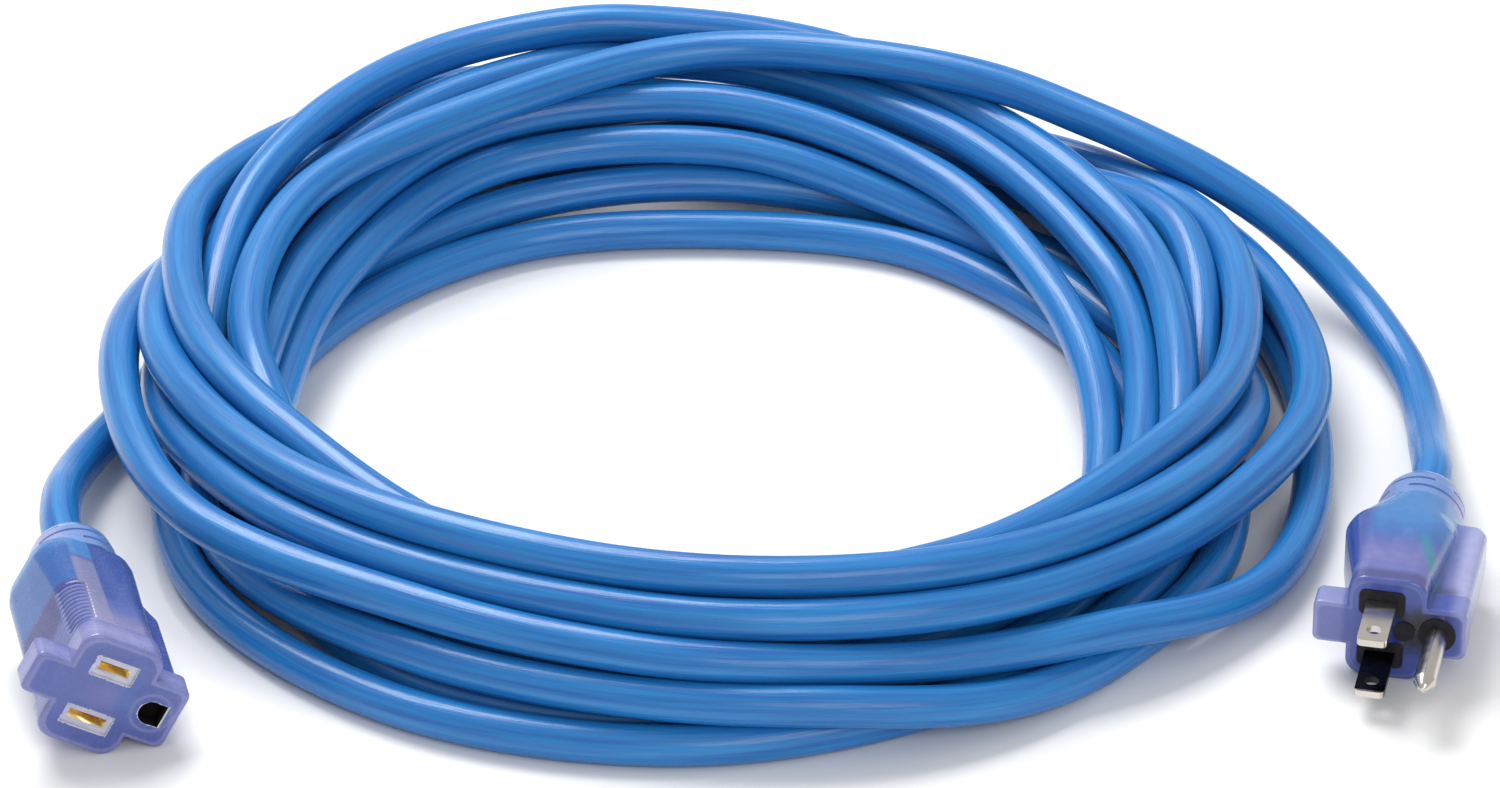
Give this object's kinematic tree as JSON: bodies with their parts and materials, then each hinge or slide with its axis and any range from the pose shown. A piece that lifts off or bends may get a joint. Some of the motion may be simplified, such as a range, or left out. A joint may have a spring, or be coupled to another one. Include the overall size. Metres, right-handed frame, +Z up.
{
  "type": "extension cord",
  "caption": "Coiled round three-wire extension cord with a moulded grounding plug at one end and a moulded single-outlet connector at the other.",
  "frame": {"origin": "on the floor, under the middle of the whole object's box", "axes": "+Z up, +X from the connector's side to the plug's side, -Y the way the plug's blades and the connector's face roughly point"},
  "size_m": [0.3139, 0.278, 0.042],
  "materials": {
    "cord_jacket": "glossy blue vinyl jacket with faint lengthwise streaks",
    "plug_moulding": "translucent violet-blue soft moulding",
    "connector_moulding": "translucent violet-blue soft moulding, frosted in places",
    "relief_moulding": "milky pale blue soft moulding",
    "carrier_plastic": "black moulded carrier with a soft sheen",
    "nickel": "nickel-plated brass, bright with fine drawing marks",
    "brass": "bright brass strip",
    "copper": "bare stranded copper",
    "clear_block": "clear moulded block, slightly milky",
    "wire_black": "black wire insulation",
    "wire_white": "white wire insulation",
    "wire_green": "green wire insulation"
  },
  "bodies": {
    "root": {"cord_coil": "cord_jacket", "cord_tail_plug": "cord_jacket", "cord_tail_connector": "cord_jacket", "plug_housing": "plug_moulding", "plug_strain_relief": "relief_moulding", "plug_blade_carrier": "carrier_plastic", "plug_blade_hot": "nickel", "plug_blade_neutral": "nickel", "plug_ground_pin": "nickel", "plug_wire_hot": "wire_black", "plug_wire_neutral": "wire_white", "plug_wire_ground": "wire_green", "plug_copper_ends": "copper", "plug_jacket_end": "cord_jacket", "connector_housing": "connector_moulding", "connector_strain_relief": "relief_moulding", "connector_contact_block": "clear_block", "connector_contact_hot": "brass", "connector_contact_neutral": "brass", "connector_contact_ground": "brass", "connector_wire_hot": "wire_black", "connector_wire_neutral": "wire_white", "connector_wire_ground": "wire_green", "connector_copper_ends": "copper", "connector_jacket_end": "cord_jacket"}
  },
  "joints": []
}
